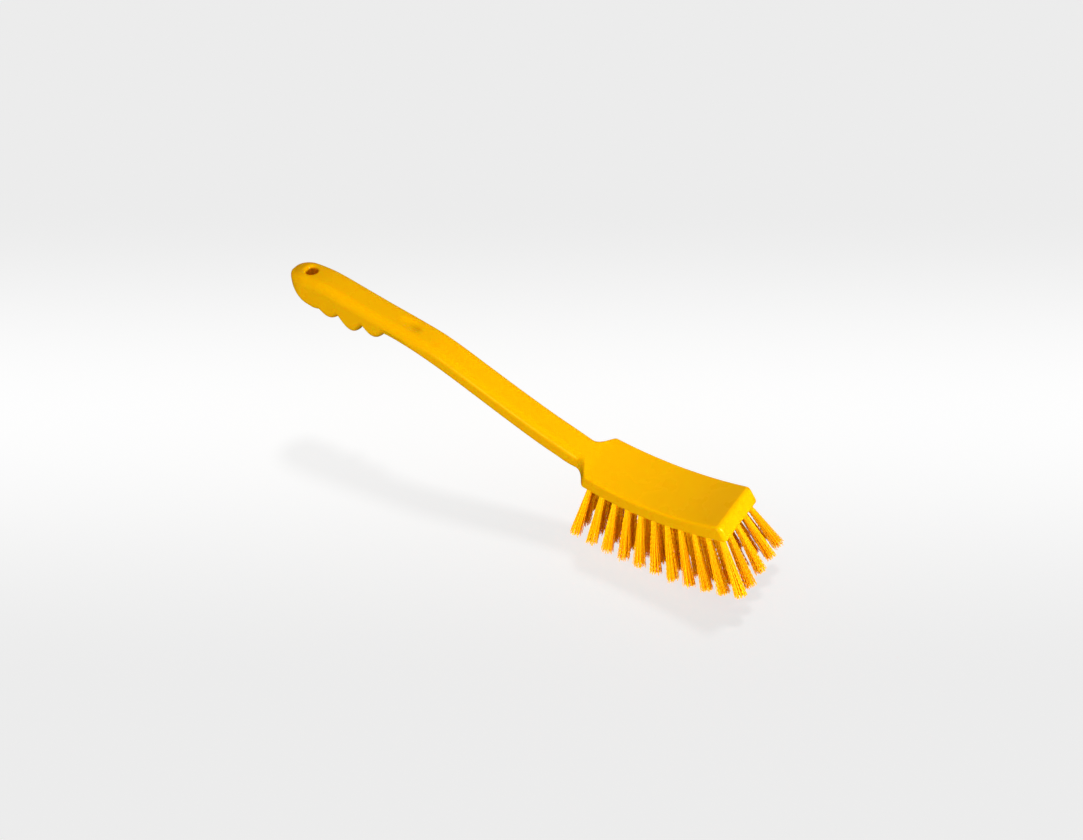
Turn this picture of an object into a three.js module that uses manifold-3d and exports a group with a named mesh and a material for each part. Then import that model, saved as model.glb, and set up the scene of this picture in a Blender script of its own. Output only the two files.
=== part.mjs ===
// Long-handled washing brush: one plastic moulding (block, shaft and grip) and 55 bristle tufts.
// Millimetres, +Z up. Everything is designed in the block's own frame: +X runs from the heel, where
// the handle joins, to the toe, Y is across, and z = 0 is the level of the heel's top edge. The
// whole brush is then tilted until the middle tuft of its third row stands upright on the floor.
import * as THREE from 'three';
import { ParametricGeometry } from 'three/addons/geometries/ParametricGeometry.js';
import { mergeVertices } from 'three/addons/utils/BufferGeometryUtils.js';
import Module from 'manifold-3d';

const wasm = await Module();
wasm.setup();

// ---------- driving dimensions ----------
const TILT = THREE.MathUtils.degToRad(3.6); // the toe stands this much higher than the heel

// Block
const BLOCK_LENGTH = 116; // along the top, from heel edge to toe edge
const BLOCK_THICKNESS = 12.5;
const SHOULDER_HALF_WIDTH = 26; // at the heel and at the toe
const BARREL = 1.3; // extra half width half way along
const BLOCK_RADIUS = 258; // the top face is a hollow arc, and the face with the holes runs parallel
const BLOCK_EDGE = 2.2; // radius of the long edges
const TOE_LEAN = Math.tan(THREE.MathUtils.degToRad(30)); // the toe face leans out as it goes down
const HEEL_LEAN = Math.tan(THREE.MathUtils.degToRad(12)); // and so does the heel, the other way
const TOE_EDGE = 3.2; // radius all round the toe face

// Handle
const SHAFT_HALF_WIDTH = 13;
const GRIP_HALF_WIDTH = 14;
const SHAFT_EDGE = 6;
const GRIP_EDGE = 8;
const NECK_LENGTH = 15; // the shaft widens into the shoulders over this length
// the neck's hollow fillet: its shares of the length and of the widening, and how late it rises
const FILLET = { length: 0.68, rise: 0.6, power: 2.2 };
const HANDLE_END = -290.5;
const END_ROUND = 18; // length of the rounded end
const END_HEIGHT = 82.5; // level of the tip of the rounded end
const GRIP_START = -176;
const GRIP_BLEND = 34; // the shaft becomes the grip over this length

// [x, z] along the middle of the handle's top, then along its underside without the finger ridges
const TOP_POINTS = [
  [-295, 89], [-265, 88.4], [-250, 86.5], [-225, 80.2], [-200, 73.8], [-175, 67.8], [-150, 61],
  [-130, 53], [-110, 44], [-80, 30.6], [-50, 18], [-25, 8.8], [-8, 2.5],
];
const UNDER_POINTS = [
  [-295, 73], [-280, 65.5], [-262, 60], [-241, 58.6], [-216, 57], [-193, 56.6], [-168, 50.3], [-140, 39.8],
  [-110, 26.4], [-80, 12.7], [-50, -0.2], [-25, -8.8], [-8, -11.9],
];

// Finger ridges under the grip: where each starts and ends, and how far it stands down
const RIDGES = [
  { from: -194.5, to: -216, depth: 7.5 },
  { from: -216, to: -240, depth: 10 },
  { from: -240, to: -260, depth: 5.5 },
];
const POMMEL = { depth: 3, overlap: 5, length: 11 }; // it starts inside the last ridge
const VALLEY_SOFTNESS = 0.18;

// Thumb dimple and hang hole
const DIMPLE = { x: -174, length: 22, width: 13, depth: 2.2 };
const HANG_HOLE = { x: -271, radius: 5.5, mouth: 2.2, lean: THREE.MathUtils.degToRad(3) };

// Tufts
const ROWS = 11;
const COLUMNS = [-1, -0.56, 0, 0.56, 1]; // across the block, as shares of the outer columns' distance
const UPRIGHT_ROW = 3; // this row stands square to the floor
const FIRST_ROW_X = 1.7;
const ROW_PITCH = 11.4; // along the face with the holes
const EDGE_INSET = 5.5; // from the block's side to the middle of an outer tuft
const ROW_FAN = THREE.MathUtils.degToRad(4.05); // each row leans this much more than the one before
const COLUMN_FAN = THREE.MathUtils.degToRad(12.5); // and the outer columns lean this much outwards
const TUFT_LENGTH = 48; // out of the block
const TOE_TUFT_LENGTH = 50.5; // towards the toe, from these rows on
const LENGTHENING_ROWS = [5, 8];
const TUFT_TIP_RADIUS = 4.6;
const FLARE_START = 0.5; // a tuft is straight inside its hole and flares from just outside it
const HOLE_RADIUS = 2.4;
const HOLE_DEPTH = 9;
const CLEARANCE = 0.3;
const ANCHOR = { width: 3.8, height: 2, thickness: 0.7 }; // flat metal staple at a tuft's root

// Facets
const CORNER_STEPS = 4;
const ROUND_SIDES = 10;
const HANG_SIDES = 24;
const BOWL_FACETS = [24, 16];
const END_STEPS = 8;
const TOE_STEPS = 4;
const CUTTER_OVERLAP = 5; // how far a cutter runs on out of the moulding
const WELD_DISTANCE = 1e-4;

// ---------- curves along the length ----------
function curveThrough(points) {
  const curve = new THREE.CubicInterpolant(points.map((p) => p[0]), points.map((p) => p[1]), 1);
  return (x) => curve.evaluate(x)[0];
}

const blockMiddle = BLOCK_LENGTH / 2;
const arcCentreZ = Math.sqrt(BLOCK_RADIUS ** 2 - blockMiddle ** 2);
const blockTop = (x) => arcCentreZ - Math.sqrt(BLOCK_RADIUS ** 2 - (x - blockMiddle) ** 2);
const holeFaceRadius = BLOCK_RADIUS + BLOCK_THICKNESS;
const blockUnder = (x) => arcCentreZ - Math.sqrt(holeFaceRadius ** 2 - (x - blockMiddle) ** 2);

// the handle's lines run on into the block's own arcs
const arcSteps = [0, 0.15, 0.3, 0.5, 0.75, 1, 1.2].map((share) => share * BLOCK_LENGTH);
const arcPoints = (line) => arcSteps.map((x) => [x, line(x)]);
const topLine = curveThrough([...TOP_POINTS, ...arcPoints(blockTop)]);
const underLine = curveThrough([...UNDER_POINTS, ...arcPoints(blockUnder)]);

const ramp = (x, from, to) => THREE.MathUtils.smoothstep((x - from) / (to - from), 0, 1);
const gripShare = (x) => ramp(x, GRIP_START + GRIP_BLEND, GRIP_START);

// rounded lobes between the finger valleys, and the pommel behind the last one
function ridgeDrop(x) {
  const pommelStart = RIDGES.at(-1).to + POMMEL.overlap;
  let drop = POMMEL.depth * ramp(x, pommelStart, pommelStart - POMMEL.length);
  for (const ridge of RIDGES) {
    const t = (x - ridge.from) / (ridge.to - ridge.from);
    if (t <= 0 || t >= 1) continue;
    const wave = Math.hypot(Math.sin(Math.PI * t), VALLEY_SOFTNESS) - VALLEY_SOFTNESS;
    drop += (ridge.depth * wave) / (Math.hypot(1, VALLEY_SOFTNESS) - VALLEY_SOFTNESS);
  }
  return drop;
}

// hollow fillet out of the shaft, then a round shoulder
function shoulder(x) {
  const t = THREE.MathUtils.clamp((x + NECK_LENGTH) / NECK_LENGTH, 0, 1);
  if (t < FILLET.length) return FILLET.rise * (t / FILLET.length) ** FILLET.power;
  const past = (t - FILLET.length) / (1 - FILLET.length);
  return FILLET.rise + (1 - FILLET.rise) * Math.sin(past * Math.PI / 2);
}

function halfWidth(x) {
  const handle = THREE.MathUtils.lerp(SHAFT_HALF_WIDTH, GRIP_HALF_WIDTH, gripShare(x));
  const along = THREE.MathUtils.clamp(x / BLOCK_LENGTH, 0, 1);
  const block = SHOULDER_HALF_WIDTH + BARREL * 4 * along * (1 - along);
  return THREE.MathUtils.lerp(handle, block, shoulder(x));
}

function edgeRadius(x) {
  const handle = THREE.MathUtils.lerp(SHAFT_EDGE, GRIP_EDGE, gripShare(x));
  return THREE.MathUtils.lerp(handle, BLOCK_EDGE, ramp(x, -NECK_LENGTH, 0));
}

// how far a section slopes towards the toe for each millimetre down
function sectionLean(x) {
  const toe = TOE_LEAN * ramp(x, 0.6 * BLOCK_LENGTH, BLOCK_LENGTH - TOE_EDGE);
  const heel = HEEL_LEAN * ramp(x, -2.5 * NECK_LENGTH, -NECK_LENGTH) * ramp(x, 2 * NECK_LENGTH, 0);
  return toe - heel;
}

// ---------- the moulding's sections ----------
// Each station is a rounded rectangle across the handle: x, an inset from the full section and,
// at the two ends, how far the section has shrunk towards its middle.
function stations() {
  const list = [];
  const span = (from, to, steps) => {
    for (let i = 0; i < steps; i++) list.push({ x: from + ((to - from) * i) / steps, size: 1, inset: 0 });
  };
  for (let i = 0; i < END_STEPS; i++) {
    const angle = (i / END_STEPS) * (Math.PI / 2);
    list.push({ x: HANDLE_END + END_ROUND * (1 - Math.cos(angle)), size: Math.sin(angle), inset: 0 });
  }
  const ridgesStart = RIDGES[0].from;
  const shaftStart = GRIP_START + GRIP_BLEND;
  span(HANDLE_END + END_ROUND, ridgesStart, 30);
  span(ridgesStart, shaftStart, 17);
  span(shaftStart, -NECK_LENGTH, 12);
  span(-NECK_LENGTH, 0, 10);
  span(0, BLOCK_LENGTH - TOE_EDGE, 9);
  for (let i = 0; i <= TOE_STEPS; i++) {
    const angle = (i / TOE_STEPS) * (Math.PI / 2);
    const x = BLOCK_LENGTH - TOE_EDGE * (1 - Math.sin(angle));
    list.push({ x, size: 1, inset: TOE_EDGE * (1 - Math.cos(angle)) });
  }
  list.push({ x: BLOCK_LENGTH, size: 0, inset: TOE_EDGE });
  return list;
}

function sectionPoint({ x, size, inset }, index, target) {
  const steps = CORNER_STEPS + 1;
  const corner = Math.floor(index / steps) % 4;
  const angle = ((corner + (index % steps) / CORNER_STEPS) * Math.PI) / 2;
  const edge = edgeRadius(x);
  const atEnd = x < HANDLE_END + END_ROUND;
  const top = topLine(x) - inset;
  const under = underLine(x) - ridgeDrop(x) + inset;
  const middle = atEnd ? END_HEIGHT : (top + under) / 2;
  const side = corner === 0 || corner === 3 ? 1 : -1;
  const upper = corner < 2;
  const y = side * (halfWidth(x) - inset - edge) + edge * Math.cos(angle);
  const z = (upper ? top - edge : under + edge) + edge * Math.sin(angle);
  const sizedZ = middle + (z - middle) * size;
  target.set(x + sectionLean(x) * (topLine(x) - sizedZ), y * size, sizedZ);
  return target;
}

// ---------- solids ----------
function toSolid(geometry) {
  const shell = geometry.clone();
  shell.deleteAttribute('normal');
  shell.deleteAttribute('uv');
  const merged = mergeVertices(shell, WELD_DISTANCE);
  const triVerts = [];
  const index = merged.index.array;
  for (let i = 0; i < index.length; i += 3) {
    const [a, b, c] = index.slice(i, i + 3);
    if (a !== b && b !== c && c !== a) triVerts.push(a, b, c);
  }
  return new wasm.Manifold(new wasm.Mesh({
    numProp: 3,
    vertProperties: merged.attributes.position.array,
    triVerts: new Uint32Array(triVerts),
  }));
}

function toGeometry(solid) {
  const mesh = solid.getMesh();
  const geometry = new THREE.BufferGeometry();
  geometry.setAttribute('position', new THREE.BufferAttribute(mesh.vertProperties, 3));
  geometry.setIndex(new THREE.BufferAttribute(mesh.triVerts, 1));
  geometry.computeVertexNormals();
  return geometry;
}

// a profile of [radius, height] points spun about Z
function turned(profile, sides) {
  const outline = profile.map(([radius, height]) => new THREE.Vector2(radius, height));
  return new THREE.LatheGeometry(outline, sides).rotateX(Math.PI / 2);
}

// ---------- tuft places ----------
function tuftPlaces() {
  const places = [];
  const firstAngle = Math.asin((FIRST_ROW_X - blockMiddle) / holeFaceRadius);
  for (let row = 1; row <= ROWS; row++) {
    const along = firstAngle + ((row - 1) * ROW_PITCH) / holeFaceRadius;
    const x = blockMiddle + holeFaceRadius * Math.sin(along);
    const z = arcCentreZ - holeFaceRadius * Math.cos(along);
    const lean = (row - UPRIGHT_ROW) * ROW_FAN - TILT;
    COLUMNS.forEach((across, column) => {
      const root = new THREE.Vector3(x, (halfWidth(x) - EDGE_INSET) * across, z);
      const splay = across * COLUMN_FAN;
      const out = new THREE.Vector3(
        Math.sin(lean) * Math.cos(splay), Math.sin(splay), -Math.cos(lean) * Math.cos(splay));
      places.push({ name: `tuft_r${String(row).padStart(2, '0')}_c${column + 1}`, row, root, out });
    });
  }
  return places;
}

// turns +Z onto the way that the tuft points
const tuftTurn = (out) => new THREE.Quaternion().setFromUnitVectors(new THREE.Vector3(0, 0, 1), out);

// ---------- handle and block, one moulding ----------
function skinGeometry() {
  const list = stations();
  const around = 4 * (CORNER_STEPS + 1);
  const skin = (u, v, target) =>
    sectionPoint(list[Math.round(v * (list.length - 1))], Math.round(u * around) % around, target);
  return new ParametricGeometry(skin, around, list.length - 1);
}

function dimpleCutter() {
  const bowlRadius = ((DIMPLE.width / 2) ** 2 + DIMPLE.depth ** 2) / (2 * DIMPLE.depth);
  const rise = topLine(DIMPLE.x + DIMPLE.length / 2) - topLine(DIMPLE.x - DIMPLE.length / 2);
  const slope = Math.atan(rise / DIMPLE.length);
  return new THREE.SphereGeometry(bowlRadius, ...BOWL_FACETS)
    .scale(DIMPLE.length / DIMPLE.width, 1, 1)
    .rotateY(-slope)
    .translate(DIMPLE.x, 0, topLine(DIMPLE.x) + bowlRadius - DIMPLE.depth);
}

function hangHoleCutter() {
  const { x, radius, mouth, lean } = HANG_HOLE;
  const top = topLine(x);
  const bottom = underLine(x) - POMMEL.depth;
  const wide = radius + mouth + CUTTER_OVERLAP;
  const profile = [
    [0, bottom - CUTTER_OVERLAP], [wide, bottom - CUTTER_OVERLAP], [radius, bottom + mouth],
    [radius, top - mouth], [wide, top + CUTTER_OVERLAP], [0, top + CUTTER_OVERLAP],
  ];
  return turned(profile, HANG_SIDES)
    .translate(0, 0, -top)
    .rotateY(-lean)
    .translate(x, 0, top);
}

function handleBlock(places) {
  let solid = toSolid(skinGeometry())
    .subtract(toSolid(dimpleCutter()))
    .subtract(toSolid(hangHoleCutter()));
  const cutter = turned([
    [0, -HOLE_DEPTH], [HOLE_RADIUS, -HOLE_DEPTH], [HOLE_RADIUS, CUTTER_OVERLAP], [0, CUTTER_OVERLAP],
  ], ROUND_SIDES);
  for (const { root, out } of places) {
    const placed = cutter.clone().applyQuaternion(tuftTurn(out)).translate(...root);
    solid = solid.subtract(toSolid(placed));
  }
  return toGeometry(solid);
}

// ---------- a tuft with its anchor ----------
function tuft(row) {
  const length = THREE.MathUtils.lerp(TUFT_LENGTH, TOE_TUFT_LENGTH, ramp(row, ...LENGTHENING_ROWS));
  const rootRadius = HOLE_RADIUS - CLEARANCE;
  const rootDepth = HOLE_DEPTH - CLEARANCE - ANCHOR.height / 2;
  const bundle = turned([
    [0, -rootDepth], [rootRadius, -rootDepth], [rootRadius, FLARE_START],
    [TUFT_TIP_RADIUS, length], [0, length],
  ], ROUND_SIDES);
  const anchor = new THREE.BoxGeometry(ANCHOR.width, ANCHOR.thickness, ANCHOR.height)
    .translate(0, 0, -rootDepth);
  return toGeometry(toSolid(bundle).add(toSolid(anchor)));
}

// ---------- the brush ----------
const moulding = new THREE.MeshStandardMaterial({ color: 0xf5b400, roughness: 0.3, metalness: 0 });
const bristle = new THREE.MeshStandardMaterial({ color: 0xf2b705, roughness: 0.5, metalness: 0 });

const brush = new THREE.Group();
const places = tuftPlaces();

const block = new THREE.Mesh(handleBlock(places), moulding.clone());
block.name = 'handle_block';
brush.add(block);

for (const { name, row, root, out } of places) {
  const mesh = new THREE.Mesh(tuft(row), bristle.clone());
  mesh.name = name;
  mesh.position.copy(root);
  mesh.quaternion.copy(tuftTurn(out));
  brush.add(mesh);
}

// toe up, and the origin in the middle of the floor under the brush
brush.rotation.y = -TILT;
brush.updateMatrixWorld(true);
const box = new THREE.Box3().setFromObject(brush, true);
const middle = box.getCenter(new THREE.Vector3());
brush.position.set(-middle.x, -middle.y, -box.min.z);

export default brush;
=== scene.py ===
"""Looks of a long-handled washing brush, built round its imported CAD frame.

Metres, in the CAD frame: +X from the grip to the toe, +Y across, +Z up, the origin on the floor.
The brush is designed in its block's own frame, as its CAD is: +X from heel to toe, and z = 0 at the
level of the heel's top edge. It is then tilted toe up and seated on the box of the CAD moulding.
"""
import math

import bpy
import numpy as np
from mathutils import Matrix, Vector


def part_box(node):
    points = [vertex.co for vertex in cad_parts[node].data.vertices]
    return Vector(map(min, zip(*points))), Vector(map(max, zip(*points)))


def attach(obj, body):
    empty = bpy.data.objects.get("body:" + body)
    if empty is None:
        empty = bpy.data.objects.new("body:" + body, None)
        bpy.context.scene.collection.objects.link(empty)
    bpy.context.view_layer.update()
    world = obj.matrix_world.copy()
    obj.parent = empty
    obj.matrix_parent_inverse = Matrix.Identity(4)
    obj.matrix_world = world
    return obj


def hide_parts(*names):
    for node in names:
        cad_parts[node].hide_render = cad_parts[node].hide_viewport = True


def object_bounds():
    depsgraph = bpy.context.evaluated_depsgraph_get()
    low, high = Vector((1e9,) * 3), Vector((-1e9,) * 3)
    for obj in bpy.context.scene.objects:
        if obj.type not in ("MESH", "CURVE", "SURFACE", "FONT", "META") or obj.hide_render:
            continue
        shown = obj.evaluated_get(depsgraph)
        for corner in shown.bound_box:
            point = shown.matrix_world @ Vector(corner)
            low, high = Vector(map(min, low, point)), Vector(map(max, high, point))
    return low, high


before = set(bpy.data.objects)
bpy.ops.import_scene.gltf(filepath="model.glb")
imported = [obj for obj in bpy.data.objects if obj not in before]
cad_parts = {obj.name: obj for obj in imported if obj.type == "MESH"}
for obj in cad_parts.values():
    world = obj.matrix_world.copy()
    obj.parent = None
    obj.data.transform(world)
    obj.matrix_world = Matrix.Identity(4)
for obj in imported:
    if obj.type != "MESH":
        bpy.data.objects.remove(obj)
cad_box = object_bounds()

# ---------- driving dimensions ----------
# Where the CAD has the same dimension its value is the same, apart from TUFT_TIP_RADIUS.
TILT = math.radians(3.6)  # the toe stands this much higher than the heel

# Block
BLOCK_LENGTH = 0.116
BLOCK_THICKNESS = 0.0125
SHOULDER_HALF_WIDTH = 0.026
BARREL = 0.0013  # extra half width half way along
BLOCK_RADIUS = 0.258  # the top face is a hollow arc, and the face with the holes runs parallel
BLOCK_EDGE = 0.0022
TOE_LEAN = math.tan(math.radians(30))  # the toe face leans out as it goes down
TOE_LEAN_START = 0.6  # where the lean starts, as a share of the block's length
HEEL_LEAN = math.tan(math.radians(12))
HEEL_LEAN_BEHIND, HEEL_LEAN_AHEAD = 2.5, 2  # its reach from the heel, in neck lengths
TOE_EDGE = 0.0032

# Handle
SHAFT_HALF_WIDTH = 0.013
GRIP_HALF_WIDTH = 0.014
SHAFT_EDGE = 0.006
GRIP_EDGE = 0.008
NECK_LENGTH = 0.015
FILLET_LENGTH, FILLET_RISE = 0.68, 0.6  # shares of the neck's length and of its widening
FILLET_POWER = 2.2
HANDLE_END = -0.2905
END_ROUND = 0.018
END_HEIGHT = 0.0825
GRIP_START = -0.176
GRIP_BLEND = 0.034

# (x, z) along the middle of the handle's top, then along its underside without the finger ridges
TOP_POINTS = [
    (-0.295, 0.089), (-0.265, 0.0884), (-0.25, 0.0865), (-0.225, 0.0802), (-0.2, 0.0738),
    (-0.175, 0.0678), (-0.15, 0.061), (-0.13, 0.053), (-0.11, 0.044), (-0.08, 0.0306),
    (-0.05, 0.018), (-0.025, 0.0088), (-0.008, 0.0025),
]
UNDER_POINTS = [
    (-0.295, 0.073), (-0.28, 0.0655), (-0.262, 0.06), (-0.241, 0.0586), (-0.216, 0.057),
    (-0.193, 0.0566), (-0.168, 0.0503), (-0.14, 0.0398), (-0.11, 0.0264), (-0.08, 0.0127),
    (-0.05, -0.0002), (-0.025, -0.0088), (-0.008, -0.0119),
]
ARC_SHARES = (0, 0.15, 0.3, 0.5, 0.75, 1, 1.2)  # points on the block's own arcs, by its length

# Finger ridges: (start, end, depth), then the pommel behind the last one
RIDGES = [(-0.1945, -0.216, 0.0075), (-0.216, -0.24, 0.01), (-0.24, -0.26, 0.0055)]
POMMEL_DEPTH, POMMEL_OVERLAP, POMMEL_LENGTH = 0.003, 0.005, 0.011
VALLEY_SOFTNESS = 0.18

# Thumb dimple and hang hole
DIMPLE_X, DIMPLE_LENGTH, DIMPLE_WIDTH, DIMPLE_DEPTH = -0.174, 0.022, 0.013, 0.0022
DIMPLE_RIM = 1.15  # the soft bowl is this much wider than the CAD's, which has a sharp rim
HANG_X, HANG_RADIUS, HANG_MOUTH, HANG_LEAN = -0.271, 0.0055, 0.0022, math.radians(3)

# Tufts
ROWS = 11
COLUMNS = (-1, -0.56, 0, 0.56, 1)
UPRIGHT_ROW = 3
FIRST_ROW_X = 0.0017
ROW_PITCH = 0.0114
EDGE_INSET = 0.0055
ROW_FAN = math.radians(4.05)
COLUMN_FAN = math.radians(12.5)
TUFT_LENGTH, TOE_TUFT_LENGTH = 0.048, 0.0505
LENGTHENING_ROWS = (5, 8)
TUFT_TIP_RADIUS = 0.0051  # a loose bundle is wider than the CAD's plain taper
HOLE_RADIUS = 0.0024
HOLE_DEPTH = 0.009
CLEARANCE = 0.0003
ANCHOR_WIDTH, ANCHOR_THICKNESS, ANCHOR_HEIGHT = 0.0038, 0.0007, 0.002
ANCHOR_EDGE = 0.0001
NOTCH_WIDTH, NOTCH_DEPTH = 0.4, 0.15  # shares of an anchor's width and height

# Filaments
FILAMENTS = 62  # cut ends in each tuft
FILAMENT_RADIUS = 0.00027
FILAMENT_SIDES = 5
FILAMENT_STEP = 0.0007  # between rings along a filament
FLOOR_GAP = 0.0002  # kept under the middle of a filament's cut end
FILAMENT_END, END_SHARE = 0.6, 0.85  # a cut end's radius, and where it starts in the last step
LENGTH_SPREAD, SHORTEST, LONGEST = 0.0008, -0.002, 0.0015  # of a filament, against its tuft
STRAY, STRAY_POWER = 0.00045, 1.5  # how far a tip strays sideways, and how late that sets in
CRIMP_PITCH = 0.0040
CRIMP_DEPTH = 0.00022
CRIMP_START = 0.004  # from the block to the full crimp
CRIMP_SHEAR = 2.4  # radians of phase from one side of a tuft to its middle
PHASE_SPREAD, PLANE_SPREAD = 0.35, 0.3  # radians from one filament to another
GOLDEN_ANGLE = math.pi * (3 - math.sqrt(5))
SEED = 11

# Facets
CORNER_STEPS = 14
TOP_STEPS, SIDE_STEPS, UNDER_STEPS = 24, 8, 16
END_STATIONS, TOE_STATIONS = 30, 12  # round the handle's end, and over the toe's edge
TOE_FACE_SIZES = (0.97, 0.8, 0.55, 0.3, 0)  # rings on the flat toe face
STATION_STEP = 0.0009
FINE_STEP = 0.0004
HOLE_SIDES = 32
HANG_SIDES = 96
SHARP_ANGLE = math.radians(38)
CUTTER_OVER = 0.003  # how far a tuft hole's cutter stands out of the block
HANG_CUTTER_LOW, HANG_CUTTER_HIGH = -0.06, 0.02


# ---------- curves along the length ----------
def curve_through(points):
    """A smooth curve z(x) whose slope at each point is that between its neighbours."""
    xs, zs = np.array(points, float).T
    slopes = np.gradient(zs, xs)
    slopes[1:-1] = (zs[2:] - zs[:-2]) / (xs[2:] - xs[:-2])

    def curve(x):
        left = np.clip(np.searchsorted(xs, x) - 1, 0, len(xs) - 2)
        width = xs[left + 1] - xs[left]
        t = (x - xs[left]) / width
        start = zs[left] * (1 + 2 * t) * (1 - t) ** 2 + slopes[left] * width * t * (1 - t) ** 2
        end = zs[left + 1] * (3 - 2 * t) * t**2 - slopes[left + 1] * width * (1 - t) * t**2
        return start + end

    return curve


block_middle = BLOCK_LENGTH / 2
hole_face_radius = BLOCK_RADIUS + BLOCK_THICKNESS
arc_centre_z = math.sqrt(BLOCK_RADIUS**2 - block_middle**2)


def arc_points(radius):
    """Points of the block's arc of that radius, which the handle's lines run on into."""
    xs = [share * BLOCK_LENGTH for share in ARC_SHARES]
    return [(x, arc_centre_z - math.sqrt(radius**2 - (x - block_middle) ** 2)) for x in xs]


top_line = curve_through(TOP_POINTS + arc_points(BLOCK_RADIUS))
under_line = curve_through(UNDER_POINTS + arc_points(hole_face_radius))


def ramp(x, start, end):
    """0 at start, 1 at end and smooth between them; end may be the lower one."""
    t = np.clip((x - start) / (end - start), 0, 1)
    return t * t * (3 - 2 * t)


def mix(a, b, share):
    return a + (b - a) * share


def grip_share(x):
    return ramp(x, GRIP_START + GRIP_BLEND, GRIP_START)


def ridge_drop(x):
    """How far the finger ridges and the pommel stand down from the underside."""
    pommel_start = RIDGES[-1][1] + POMMEL_OVERLAP
    drop = POMMEL_DEPTH * ramp(x, pommel_start, pommel_start - POMMEL_LENGTH)
    for start, end, depth in RIDGES:
        t = np.clip((x - start) / (end - start), 0, 1)
        wave = np.hypot(np.sin(math.pi * t), VALLEY_SOFTNESS) - VALLEY_SOFTNESS
        drop = drop + depth * wave / (math.hypot(1, VALLEY_SOFTNESS) - VALLEY_SOFTNESS)
    return drop


def shoulder(x):
    """0 on the shaft and 1 on the block: a hollow fillet, then a round shoulder."""
    t = np.clip((x + NECK_LENGTH) / NECK_LENGTH, 0, 1)
    hollow = FILLET_RISE * (t / FILLET_LENGTH) ** FILLET_POWER
    past = (np.maximum(t, FILLET_LENGTH) - FILLET_LENGTH) / (1 - FILLET_LENGTH)
    rounded = FILLET_RISE + (1 - FILLET_RISE) * np.sin(past * math.pi / 2)
    return np.where(t < FILLET_LENGTH, hollow, rounded)


def half_width(x):
    handle = mix(SHAFT_HALF_WIDTH, GRIP_HALF_WIDTH, grip_share(x))
    along = np.clip(x / BLOCK_LENGTH, 0, 1)
    block = SHOULDER_HALF_WIDTH + BARREL * 4 * along * (1 - along)
    return mix(handle, block, shoulder(x))


def edge_radius(x):
    handle = mix(SHAFT_EDGE, GRIP_EDGE, grip_share(x))
    return mix(handle, BLOCK_EDGE, ramp(x, -NECK_LENGTH, 0))


def section_lean(x):
    """How far a section slopes towards the toe for each metre down."""
    toe = TOE_LEAN * ramp(x, TOE_LEAN_START * BLOCK_LENGTH, BLOCK_LENGTH - TOE_EDGE)
    rise = ramp(x, -HEEL_LEAN_BEHIND * NECK_LENGTH, -NECK_LENGTH)
    fall = ramp(x, HEEL_LEAN_AHEAD * NECK_LENGTH, 0)
    return toe - HEEL_LEAN * rise * fall


# ---------- the moulding's skin ----------
def stations():
    """x, size and inset of each section: round end, handle, block, rounded toe edge, toe face."""
    rows = []
    for angle in np.linspace(0, math.pi / 2, END_STATIONS)[:-1]:
        rows.append((HANDLE_END + END_ROUND * (1 - math.cos(angle)), math.sin(angle), 0))
    x = HANDLE_END + END_ROUND
    while x < BLOCK_LENGTH - TOE_EDGE - FINE_STEP:
        rows.append((x, 1, 0))
        near_hole = abs(x - HANG_X) < HANG_RADIUS + 2 * HANG_MOUTH
        near_dimple = abs(x - DIMPLE_X) < DIMPLE_LENGTH
        x += FINE_STEP if near_hole or near_dimple else STATION_STEP
    for angle in np.linspace(0, math.pi / 2, TOE_STATIONS):
        inset = TOE_EDGE * (1 - math.cos(angle))
        rows.append((BLOCK_LENGTH - TOE_EDGE * (1 - math.sin(angle)), 1, inset))
    for size in TOE_FACE_SIZES:
        rows.append((BLOCK_LENGTH, size, TOE_EDGE))
    return np.array(rows).T[:, :, None]


def around():
    """Places round a section, counted in the corners' own points: arcs, then the flats between."""
    places = []
    for corner, flat_steps in enumerate((TOP_STEPS, SIDE_STEPS, UNDER_STEPS, SIDE_STEPS)):
        first = corner * (CORNER_STEPS + 1)
        places.extend(range(first, first + CORNER_STEPS))
        last = first + CORNER_STEPS
        places.extend(last + np.arange(flat_steps) / flat_steps)
    return np.array(places)


def dimple_depth(x, y):
    """Depth of the thumb dimple's bowl."""
    reach = np.hypot((x - DIMPLE_X) / DIMPLE_LENGTH, y / DIMPLE_WIDTH) * 2 / DIMPLE_RIM
    return DIMPLE_DEPTH * (1 + np.cos(math.pi * np.minimum(reach, 1))) / 2


def mouth_depth(x, y, hole_x):
    """Depth of the hang hole's rounded mouth, down to where its straight bore starts."""
    outside = np.clip((np.hypot(x - hole_x, y) - HANG_RADIUS) / HANG_MOUTH, 0, 1)
    return HANG_MOUTH * (1 - np.sqrt(1 - (1 - outside) ** 2))


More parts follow.
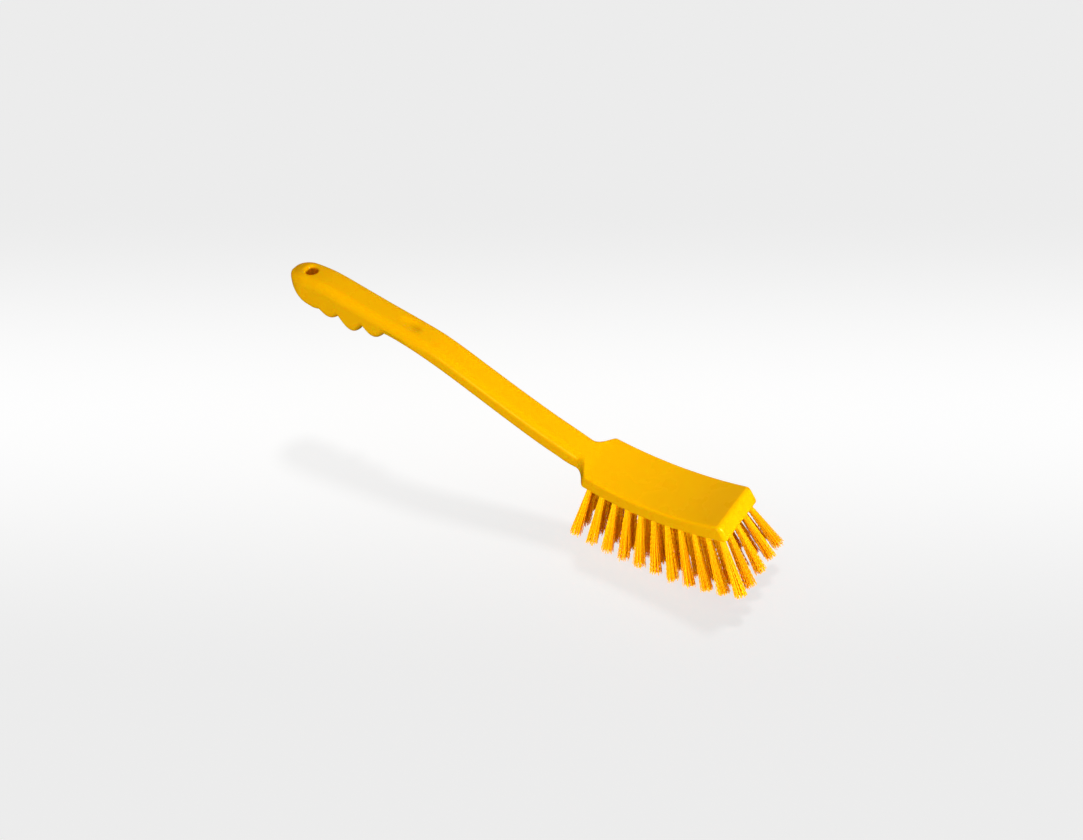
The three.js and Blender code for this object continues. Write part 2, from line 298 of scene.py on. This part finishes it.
def skin_points():
    """Every section's points, as an array of sections by places by (x, y, z)."""
    x, size, inset = stations()
    corner, step = np.divmod(np.arange(4 * (CORNER_STEPS + 1)), CORNER_STEPS + 1)
    angle = (corner + step / CORNER_STEPS) * math.pi / 2
    side = np.where((corner == 0) | (corner == 3), 1, -1)
    edge = edge_radius(x)
    top = top_line(x) - inset
    under = under_line(x) - ridge_drop(x) + inset
    middle = np.where(x < HANDLE_END + END_ROUND, END_HEIGHT, (top + under) / 2)
    y = side * (half_width(x) - inset - edge) + edge * np.cos(angle)
    z = np.where(corner < 2, top - edge, under + edge) + edge * np.sin(angle)
    z = middle + (z - middle) * size
    y = y * size

    places = around()
    left = places.astype(int)
    share = places - left
    right = (left + 1) % len(corner)
    y = mix(y[:, left], y[:, right], share)
    z = mix(z[:, left], z[:, right], share)
    upper = z > middle
    low_hole_x = HANG_X + math.sin(HANG_LEAN) * (top_line(HANG_X) - under_line(HANG_X))
    z = z - np.where(upper, dimple_depth(x, y) + mouth_depth(x, y, HANG_X), 0)
    z = z + np.where(upper, 0, mouth_depth(x, y, low_hole_x))
    x = x + section_lean(x) * (top_line(x) - z)
    return np.stack([x, y, z], axis=-1)


def new_mesh(name, vertices, faces):
    mesh = bpy.data.meshes.new(name)
    mesh.from_pydata(vertices, [], faces)
    return mesh


def skin_mesh():
    """The uncut moulding: rings of quads, closed by a fan at each end."""
    points = skin_points()
    sections, count = points.shape[:2]
    first_tip = points[0, 0]
    last_tip = points[-1, 0]
    rings = points[1:-1].reshape(-1, 3)
    vertices = np.vstack([rings, first_tip, last_tip])
    faces = []
    for section in range(sections - 3):
        for i in range(count):
            j = (i + 1) % count
            here, there = section * count, (section + 1) * count
            faces.append((here + i, here + j, there + j, there + i))
    last_ring = (sections - 3) * count
    for i in range(count):
        j = (i + 1) % count
        faces.append((i, len(rings), j))
        faces.append((last_ring + i, last_ring + j, len(rings) + 1))
    return new_mesh("skin", vertices, faces)


# ---------- tuft places ----------
def tuft_places():
    """Name, root, direction and length of each tuft, in the design frame."""
    first_angle = math.asin((FIRST_ROW_X - block_middle) / hole_face_radius)
    for row in range(1, ROWS + 1):
        along = first_angle + (row - 1) * ROW_PITCH / hole_face_radius
        x = block_middle + hole_face_radius * math.sin(along)
        z = arc_centre_z - hole_face_radius * math.cos(along)
        lean = (row - UPRIGHT_ROW) * ROW_FAN - TILT
        length = mix(TUFT_LENGTH, TOE_TUFT_LENGTH, float(ramp(row, *LENGTHENING_ROWS)))
        for column, across in enumerate(COLUMNS, start=1):
            splay = across * COLUMN_FAN
            root = Vector((x, (float(half_width(x)) - EDGE_INSET) * across, z))
            out = Vector((
                math.sin(lean) * math.cos(splay),
                math.sin(splay),
                -math.cos(lean) * math.cos(splay),
            ))
            yield f"tuft_r{row:02d}_c{column}", root, out, length


def placed_at(root, out):
    """The matrix that takes +Z onto the way a tuft points, and the origin to its root."""
    turn = Vector((0, 0, 1)).rotation_difference(out).to_matrix().to_4x4()
    return Matrix.Translation(root) @ turn


# ---------- cutting the holes ----------
def cylinder(radius, low, high, sides, matrix):
    """Vertices and faces of a closed cylinder along its own Z, with none of its corners at y = 0."""
    angles = (np.arange(sides) + 0.5) * 2 * math.pi / sides
    circle = [(radius * math.cos(angle), radius * math.sin(angle)) for angle in angles]
    vertices = [matrix @ Vector((x, y, z)) for z in (low, high) for x, y in circle]
    faces = [(i, (i + 1) % sides, sides + (i + 1) % sides, sides + i) for i in range(sides)]
    faces.append(tuple(range(sides - 1, -1, -1)))
    faces.append(tuple(range(sides, 2 * sides)))
    return vertices, faces


def cutter_mesh():
    """All the tuft holes and the hang hole's bore, as one mesh of separate cylinders."""
    parts = [
        cylinder(HOLE_RADIUS, -HOLE_DEPTH, CUTTER_OVER, HOLE_SIDES, placed_at(root, out))
        for _, root, out, _ in tuft_places()
    ]
    top = Vector((HANG_X, 0, float(top_line(HANG_X))))
    lean = Matrix.Translation(top) @ Matrix.Rotation(-HANG_LEAN, 4, "Y")
    parts.append(cylinder(HANG_RADIUS, HANG_CUTTER_LOW, HANG_CUTTER_HIGH, HANG_SIDES, lean))
    vertices, faces = [], []
    for part_vertices, part_faces in parts:
        start = len(vertices)
        vertices.extend(part_vertices)
        faces.extend(tuple(start + i for i in face) for face in part_faces)
    return new_mesh("cutter", vertices, faces)


def evaluated(obj):
    """A plain mesh of the object with its modifiers applied."""
    graph = bpy.context.evaluated_depsgraph_get()
    return bpy.data.meshes.new_from_object(obj.evaluated_get(graph))


def add_object(name, mesh, material=None, collection=None):
    obj = bpy.data.objects.new(name, mesh)
    (collection or bpy.context.scene.collection).objects.link(obj)
    if material:
        mesh.materials.clear()
        mesh.materials.append(material)
    return obj


def moulding_mesh():
    """The skin with the tuft holes and the hang hole's bore cut out of it."""
    body = add_object("uncut_moulding", skin_mesh())
    cutter = add_object("cutter", cutter_mesh())
    cut = body.modifiers.new("holes", "BOOLEAN")
    cut.operation = "DIFFERENCE"
    cut.solver = "EXACT"
    cut.object = cutter
    mesh = evaluated(body)
    bpy.data.objects.remove(body)
    bpy.data.objects.remove(cutter)
    mesh.shade_smooth()
    mesh.set_sharp_from_angle(angle=SHARP_ANGLE)
    return mesh


def seat_on_frame(mesh):
    """The matrix from the design frame to the CAD frame: toe up, centred on the CAD moulding."""
    tilt = Matrix.Rotation(-TILT, 4, "Y")
    co = np.empty(len(mesh.vertices) * 3)
    mesh.vertices.foreach_get("co", co)
    tilted = co.reshape(-1, 3) @ np.array(tilt.to_3x3()).T
    middle = Vector((tilted.min(axis=0) + tilted.max(axis=0)) / 2)
    low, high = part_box("handle_block")
    return Matrix.Translation((low + high) / 2 - middle) @ tilt


# ---------- filaments ----------
def filament_lines(place, tuft_length, rng):
    """Centre lines of a tuft's filaments in its own frame: an array of filaments by rings by 3.

    place takes that frame to the brush's, where the floor is at z = 0.
    """
    root_depth = HOLE_DEPTH - CLEARANCE - ANCHOR_HEIGHT / 2
    root_radius = HOLE_RADIUS - CLEARANCE - FILAMENT_RADIUS
    tip_radius = TUFT_TIP_RADIUS - FILAMENT_RADIUS
    rings = round((tuft_length + root_depth) / FILAMENT_STEP)
    number = np.arange(FILAMENTS)
    share = np.sqrt((number + 0.5) / FILAMENTS)[:, None]
    angle = (number * GOLDEN_ANGLE + rng.uniform(0, 2 * math.pi))[:, None]

    # cut to length, a little unevenly, and never into the floor
    uneven = rng.normal(0, LENGTH_SPREAD, (FILAMENTS, 1))
    length = tuft_length + np.clip(uneven, SHORTEST, LONGEST)
    tip_stray = rng.normal(0, STRAY, (2, FILAMENTS, 1))
    tip_u = tip_radius * share * np.cos(angle) + tip_stray[0]
    tip_v = tip_radius * share * np.sin(angle) + tip_stray[1]
    rise_u, rise_v, rise_along, root_height = place[2]
    floor_room = (rise_u * tip_u + rise_v * tip_v + root_height - FLOOR_GAP) / -rise_along
    length = np.minimum(length, floor_room)
    along = np.linspace(0, 1, rings)[None, :]
    height = -root_depth + (length + root_depth) * along

    # straight in the hole, then flaring, with strays
    flare = np.clip(height / tuft_length, 0, None)
    spread = mix(root_radius, tip_radius, flare) * share
    stray = tip_stray * flare**STRAY_POWER
    u = spread * np.cos(angle) + stray[0]
    v = spread * np.sin(angle) + stray[1]

    # the fold leaves room for the anchor
    gap = (ANCHOR_THICKNESS / 2 + FILAMENT_RADIUS) * (1 - np.abs(v) / root_radius)
    v = v + np.sign(v) * gap * (1 - ramp(height, -root_depth, -root_depth / 2))

    # crimp, nearly in step with its neighbours
    phase = rng.uniform(0, 2 * math.pi) + share * np.cos(angle) * CRIMP_SHEAR
    phase = phase + rng.normal(0, PHASE_SPREAD, (FILAMENTS, 1))
    wave = CRIMP_DEPTH * np.sin(height * 2 * math.pi / CRIMP_PITCH + phase)
    wave = wave * ramp(height, 0, CRIMP_START)
    plane = rng.uniform(0, 2 * math.pi) + rng.normal(0, PLANE_SPREAD, (FILAMENTS, 1))
    return np.stack([u + wave * np.cos(plane), v + wave * np.sin(plane), height], axis=-1)


def tube_faces(tubes, rings):
    """Vertex numbers of the quads and end caps of tubes that lie one after the other."""
    ring = np.arange(FILAMENT_SIDES)
    after = (ring + 1) % FILAMENT_SIDES
    quads = np.stack([ring, after, after + FILAMENT_SIDES, ring + FILAMENT_SIDES], axis=-1)
    quads = quads[None] + np.arange(rings - 1)[:, None, None] * FILAMENT_SIDES
    starts = np.arange(tubes) * rings * FILAMENT_SIDES
    quads = (quads.reshape(1, -1, 4) + starts[:, None, None]).reshape(-1, 4)
    low_caps = ring[::-1][None] + starts[:, None]
    high_caps = ring[None] + starts[:, None] + (rings - 1) * FILAMENT_SIDES
    return quads, np.vstack([low_caps, high_caps])


def filament_mesh(name, lines, rng):
    """Tubes round the centre lines, narrower at each cut end. tone is one random value a tube."""
    tubes, rings = lines.shape[:2]
    angle = np.linspace(0, 2 * math.pi, FILAMENT_SIDES, endpoint=False)
    circle = np.stack([np.cos(angle), np.sin(angle), np.zeros(FILAMENT_SIDES)], axis=-1)
    radius = np.full(rings, FILAMENT_RADIUS)
    radius[[0, -1]] *= FILAMENT_END
    lines = lines.copy()
    lines[:, -2] = mix(lines[:, -2], lines[:, -1], END_SHARE)
    vertices = lines[:, :, None, :] + circle[None, None] * radius[None, :, None, None]
    quads, caps = tube_faces(tubes, rings)
    mesh = bpy.data.meshes.new(name)
    mesh.vertices.add(vertices.size // 3)
    mesh.vertices.foreach_set("co", vertices.ravel())
    corners = np.concatenate([quads.ravel(), caps.ravel()])
    sizes = np.concatenate([np.full(len(quads), 4), np.full(len(caps), FILAMENT_SIDES)])
    mesh.loops.add(len(corners))
    mesh.loops.foreach_set("vertex_index", corners)
    mesh.polygons.add(len(sizes))
    mesh.polygons.foreach_set("loop_start", np.concatenate([[0], np.cumsum(sizes)[:-1]]))
    mesh.update(calc_edges=True)
    mesh.shade_smooth()
    tone = mesh.attributes.new("tone", "FLOAT", "POINT")
    tone.data.foreach_set("value", np.repeat(rng.uniform(0, 1, tubes), rings * FILAMENT_SIDES))
    return mesh


# ---------- anchors ----------
def anchor_mesh():
    """A small flat staple with rounded edges and a shallow notch where the filaments fold."""
    half_plate, half_height = ANCHOR_WIDTH / 2, ANCHOR_HEIGHT / 2
    half_notch = NOTCH_WIDTH * half_plate
    notch_top = NOTCH_DEPTH * ANCHOR_HEIGHT - half_height
    outline = [
        (-half_plate, -half_height), (-half_notch, -half_height),
        (-half_notch / 2, notch_top), (half_notch / 2, notch_top),
        (half_notch, -half_height), (half_plate, -half_height),
        (half_plate, half_height), (-half_plate, half_height),
    ]
    count = len(outline)
    sides = (-ANCHOR_THICKNESS / 2, ANCHOR_THICKNESS / 2)
    vertices = [(x, y, z) for y in sides for x, z in outline]
    faces = [tuple(range(count)), tuple(range(2 * count - 1, count - 1, -1))]
    faces += [(i, count + i, count + (i + 1) % count, (i + 1) % count) for i in range(count)]
    plate = add_object("anchor_blank", new_mesh("anchor_blank", vertices, faces))
    edge = plate.modifiers.new("edge", "BEVEL")
    edge.width = ANCHOR_EDGE
    edge.segments = 2
    edge.limit_method = "ANGLE"
    mesh = evaluated(plate)
    bpy.data.objects.remove(plate)
    return mesh


# ---------- materials ----------
YELLOW_SHEEN = (1.0, 0.75, 0.06, 1)  # the pigment is purer than a screen's yellow
LENGTHWAYS = (0.05, 1, 1)  # draws a noise out along X


class Nodes:
    """A material's nodes, made and linked by name."""

    def __init__(self, name):
        self.material = bpy.data.materials.new(name)
        self.material.use_nodes = True
        self.tree = self.material.node_tree
        self.shader = self.tree.nodes["Principled BSDF"]

    def add(self, kind, **values):
        node = self.tree.nodes.new(kind)
        for key, value in values.items():
            if key in node.inputs:
                node.inputs[key].default_value = value
            else:
                setattr(node, key, value)
        return node

    def link(self, output, socket):
        self.tree.links.new(output, socket)

    def set(self, **values):
        for key, value in values.items():
            self.shader.inputs[key.replace("_", " ")].default_value = value

    def noise(self, scale, detail, stretch=(1, 1, 1)):
        """Noise in object coordinates. A small number in stretch draws it out along that axis."""
        place = self.add("ShaderNodeTexCoord")
        mapping = self.add("ShaderNodeMapping", Scale=stretch)
        noise = self.add("ShaderNodeTexNoise", Scale=scale, Detail=detail)
        self.link(place.outputs["Object"], mapping.inputs["Vector"])
        self.link(mapping.outputs["Vector"], noise.inputs["Vector"])
        return noise.outputs["Fac"]

    def colours(self, factor, low, high, span=(0.3, 0.7)):
        """Two colours mixed by a factor, over that span of it."""
        ramp_node = self.add("ShaderNodeValToRGB")
        ramp_node.color_ramp.elements[0].position = span[0]
        ramp_node.color_ramp.elements[1].position = span[1]
        ramp_node.color_ramp.elements[0].color = (*low, 1)
        ramp_node.color_ramp.elements[1].color = (*high, 1)
        self.link(factor, ramp_node.inputs["Fac"])
        return ramp_node.outputs["Color"]

    def between(self, factor, low, high):
        """A number between low and high."""
        span = self.add("ShaderNodeMapRange")
        span.inputs["To Min"].default_value = low
        span.inputs["To Max"].default_value = high
        self.link(factor, span.inputs["Value"])
        return span.outputs["Result"]

    def bump(self, height, strength, distance, under=None):
        """A bump normal, on top of another one if there is one under it."""
        node = self.add("ShaderNodeBump", Strength=strength, Distance=distance)
        self.link(height, node.inputs["Height"])
        if under:
            self.link(under, node.inputs["Normal"])
        return node.outputs["Normal"]


def moulding_material():
    """Glossy pigmented polypropylene: a little light goes in, and the skin has a fine orange peel."""
    m = Nodes("moulded_plastic")
    m.set(IOR=1.49, Specular_IOR_Level=0.45, Specular_Tint=YELLOW_SHEEN)
    m.set(Coat_Weight=0.12, Coat_Roughness=0.1)
    m.set(Subsurface_Weight=0.45, Subsurface_Radius=(1.0, 0.28, 0.02), Subsurface_Scale=0.006)
    tone = m.colours(m.noise(scale=14, detail=3), low=(0.84, 0.405, 0.0), high=(0.85, 0.412, 0.0))
    m.link(tone, m.shader.inputs["Base Color"])
    rough = m.between(m.noise(scale=45, detail=4), low=0.26, high=0.29)
    m.link(rough, m.shader.inputs["Roughness"])
    peel = m.bump(m.noise(scale=420, detail=2), strength=0.12, distance=0.00006)
    lines = m.noise(scale=900, detail=2, stretch=LENGTHWAYS)
    drawn = m.bump(lines, strength=0.06, distance=0.00003, under=peel)
    m.link(drawn, m.shader.inputs["Normal"])
    return m.material


def bristle_material():
    """Crimped polyester filament: satin, and it lets some light through."""
    m = Nodes("bristle_filament")
    m.set(IOR=1.57, Specular_Tint=YELLOW_SHEEN)
    each = m.add("ShaderNodeAttribute", attribute_name="tone").outputs["Fac"]
    tone = m.colours(each, low=(0.9, 0.47, 0.0), high=(0.95, 0.7, 0.0), span=(0, 1))
    m.link(tone, m.shader.inputs["Base Color"])
    rough = m.between(m.noise(scale=300, detail=2), low=0.3, high=0.45)
    m.link(rough, m.shader.inputs["Roughness"])
    grain = m.bump(m.noise(scale=2500, detail=1), strength=0.1, distance=0.00002)
    m.link(grain, m.shader.inputs["Normal"])
    through = m.add("ShaderNodeBsdfTranslucent", Color=(1.0, 0.16, 0.0, 1))
    blend = m.add("ShaderNodeMixShader", Fac=0.38)
    m.link(m.shader.outputs["BSDF"], blend.inputs[1])
    m.link(through.outputs["BSDF"], blend.inputs[2])
    m.link(blend.outputs["Shader"], m.tree.nodes["Material Output"].inputs["Surface"])
    return m.material


def anchor_material():
    """Brushed steel strip."""
    m = Nodes("anchor_steel")
    m.set(Metallic=1.0)
    grain = m.noise(scale=3000, detail=3, stretch=LENGTHWAYS)
    tone = m.colours(grain, low=(0.5, 0.5, 0.51), high=(0.68, 0.68, 0.69))
    m.link(tone, m.shader.inputs["Base Color"])
    m.link(m.between(grain, low=0.28, high=0.45), m.shader.inputs["Roughness"])
    return m.material


# ---------- the brush ----------
brush = bpy.data.collections.new("brush")
bristles = bpy.data.collections.new("bristles")
bpy.context.scene.collection.children.link(brush)
brush.children.link(bristles)


def add_piece(name, mesh, material, node, slot):
    piece = add_object(name, mesh, material, bristles if slot == "bristles" else brush)
    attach(piece, "root")
    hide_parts(node)
    return piece


def build_brush():
    moulding = moulding_mesh()
    to_frame = seat_on_frame(moulding)
    moulding.transform(to_frame)
    add_piece("handle_and_block", moulding, moulding_material(), "handle_block", "moulding")

    bristle, steel = bristle_material(), anchor_material()
    blank = anchor_mesh()
    root_depth = HOLE_DEPTH - CLEARANCE - ANCHOR_HEIGHT / 2
    rng = np.random.default_rng(SEED)
    for node, design_root, design_out, length in tuft_places():
        place = to_frame @ placed_at(design_root, design_out)
        lines = filament_lines(place, length, rng)
        mesh = filament_mesh(f"{node}_filaments", lines, rng)
        mesh.transform(place)
        add_piece(f"{node}_filaments", mesh, bristle, node, "bristles")
        anchor = blank.copy()
        anchor.transform(place @ Matrix.Translation((0, 0, -root_depth)))
        add_piece(f"{node}_anchor", anchor, steel, node, "anchors")


# ---------- studio ----------
CAMERA_AZIMUTH, CAMERA_ELEVATION = math.radians(31.9), math.radians(42.8)
CAMERA_DISTANCE = 1.346
CAMERA_LENS = 56.8
CAMERA_AIM = Vector((0.01896, 0, 0.00881))  # from the middle of the CAD's box
FLOOR_SIZE = 40.0
FLOOR_GLOW, FLOOR_SHADE = 0.81, 0.31  # an underlit table: part of its white is its own light
# a painted pool of light on the floor: white across the middle, painted pale grey away from it
PAINTED_LIGHT_MIDDLE, PAINTED_LIGHT_FADE = 0.085, 0.3  # the floor is whitest across the middle
PAINTED_LIGHT_WHITE, PAINTED_FALLOFF_GREY = (1.0, 1.0, 1.0), (0.85, 0.85, 0.85)
WORLD_STRENGTH = 0.28
BOUNCES = 8  # enough to carry light in between the tufts
NEAR_LIGHT_DISTANCE, NEAR_LIGHT_SIZE = 1.25, 0.25
WHITE, LEMON, AMBER = (1, 1, 1), (0.95, 1.0, 0.85), (1.0, 0.45, 0.3)


def facing(azimuth, elevation):
    """The way towards a viewer or a light at that azimuth and elevation."""
    return Vector((
        math.sin(azimuth) * math.cos(elevation),
        -math.cos(azimuth) * math.cos(elevation),
        math.sin(elevation),
    ))


def add_camera(target):
    data = bpy.data.cameras.new("camera")
    data.lens = CAMERA_LENS
    data.sensor_width = 36
    data.clip_end = 50
    camera = bpy.data.objects.new("camera", data)
    bpy.context.scene.collection.objects.link(camera)
    back = facing(CAMERA_AZIMUTH, CAMERA_ELEVATION)
    camera.location = target + back * CAMERA_DISTANCE
    camera.rotation_euler = (-back).to_track_quat("-Z", "Y").to_euler()
    bpy.context.scene.camera = camera


def place_light(data, colour, way, lit):
    """A light that shines back along a way, and only on the collection that it is given, if any."""
    data.color = colour
    light = bpy.data.objects.new(data.name, data)
    bpy.context.scene.collection.objects.link(light)
    light.rotation_euler = (-way).to_track_quat("-Z", "Y").to_euler()
    if lit:
        light.light_linking.receiver_collection = lit
    return light


def add_light(name, azimuth, elevation, width, strength, colour, lit=None):
    """A far softbox, as wide as that many degrees. strength is what a surface facing it gets."""
    data = bpy.data.lights.new(name, "SUN")
    data.angle = math.radians(width)
    data.energy = strength * math.pi
    way = facing(math.radians(azimuth), math.radians(elevation))
    return place_light(data, colour, way, lit)


def add_near_light(name, azimuth, elevation, strength, colour, lit):
    """A square softbox near the toe, so that it lights the grip less."""
    data = bpy.data.lights.new(name, "AREA")
    data.size = NEAR_LIGHT_SIZE
    data.energy = strength * (math.pi * NEAR_LIGHT_DISTANCE) ** 2
    way = facing(math.radians(azimuth), math.radians(elevation))
    light = place_light(data, colour, way, lit)
    low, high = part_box("handle_block")
    light.location = Vector((high.x, 0, low.z)) + way * NEAR_LIGHT_DISTANCE


def floor_material():
    """Matt white paper with a painted pool of light: whitest in a soft band across the middle and
    painted pale grey away from it.
    """
    m = Nodes("floor_paper")
    m.set(Roughness=0.9, Specular_IOR_Level=0.2)
    place = m.add("ShaderNodeTexCoord")
    turned = m.add("ShaderNodeMapping", Rotation=(0, 0, -CAMERA_AZIMUTH))
    split = m.add("ShaderNodeSeparateXYZ")
    m.link(place.outputs["Object"], turned.inputs["Vector"])
    m.link(turned.outputs["Vector"], split.inputs["Vector"])
    off = m.add("ShaderNodeMath", operation="SUBTRACT")
    off.inputs[1].default_value = PAINTED_LIGHT_MIDDLE
    m.link(split.outputs["Y"], off.inputs[0])
    away = m.add("ShaderNodeMath", operation="ABSOLUTE")
    m.link(off.outputs[0], away.inputs[0])
    span = m.add("ShaderNodeMapRange", interpolation_type="SMOOTHSTEP")
    span.inputs["From Max"].default_value = PAINTED_LIGHT_FADE
    m.link(away.outputs[0], span.inputs["Value"])
    # painted pool of light: the band's white and grey set both the paper's colour and its glow
    band = m.colours(span.outputs["Result"], low=PAINTED_LIGHT_WHITE, high=PAINTED_FALLOFF_GREY, span=(0, 1))
    dim = m.add("ShaderNodeMix", data_type="RGBA", blend_type="MULTIPLY")
    dim.inputs["Factor"].default_value = 1.0
    dim.inputs["B"].default_value = (FLOOR_SHADE, FLOOR_SHADE, FLOOR_SHADE, 1)
    m.link(band, dim.inputs["A"])
    m.link(dim.outputs["Result"], m.shader.inputs["Base Color"])
    m.link(band, m.shader.inputs["Emission Color"])
    m.set(Emission_Strength=FLOOR_GLOW)
    grain = m.bump(m.noise(scale=600, detail=3), strength=0.05, distance=0.0001)
    m.link(grain, m.shader.inputs["Normal"])
    return m.material


def add_floor():
    """The floor, which neither lights the brush nor shows in its gloss."""
    half = FLOOR_SIZE / 2
    corners = [(-half, -half, 0), (half, -half, 0), (half, half, 0), (-half, half, 0)]
    floor = add_object("floor", new_mesh("floor", corners, [(0, 1, 2, 3)]), floor_material())
    floor.visible_diffuse = False
    floor.visible_glossy = False


def add_world():
    """A dim, even white surround, which doesn't show in the brush's gloss."""
    world = bpy.data.worlds.new("studio")
    world.use_nodes = True
    background = world.node_tree.nodes["Background"]
    background.inputs["Color"].default_value = (*WHITE, 1)
    background.inputs["Strength"].default_value = WORLD_STRENGTH
    world.cycles_visibility.glossy = False
    bpy.context.scene.world = world
    bpy.context.scene.cycles.diffuse_bounces = BOUNCES


def add_lights():
    """Lights on the brush or its bristles alone, then the one that casts the soft shadow."""
    add_near_light("toe_light", 90, 25, 1.45, LEMON, brush)
    # name, azimuth, elevation, width, strength, colour, what it lights
    for light in (
        ("front_light", 5, 8, 14, 0.75, LEMON, brush),
        ("bristle_light", -22, 12, 8, 1.05, LEMON, bristles),
        ("bristle_fill", 40, 0, 60, 0.55, AMBER, bristles),
        ("bristle_toe_light", 75, 8, 25, 0.5, LEMON, bristles),
    ):
        add_light(*light)
    # neither of these shows in the gloss
    add_light("back_fill", 205, 4, 50, 0.4, LEMON, brush).visible_glossy = False
    add_light("top_light", 202, 58, 8, 0.35, WHITE).visible_glossy = False


def build_studio():
    add_floor()
    add_world()
    add_lights()
    bpy.context.scene.view_settings.view_transform = "Standard"
    low, high = cad_box
    add_camera((low + high) / 2 + CAMERA_AIM)


build_brush()
build_studio()
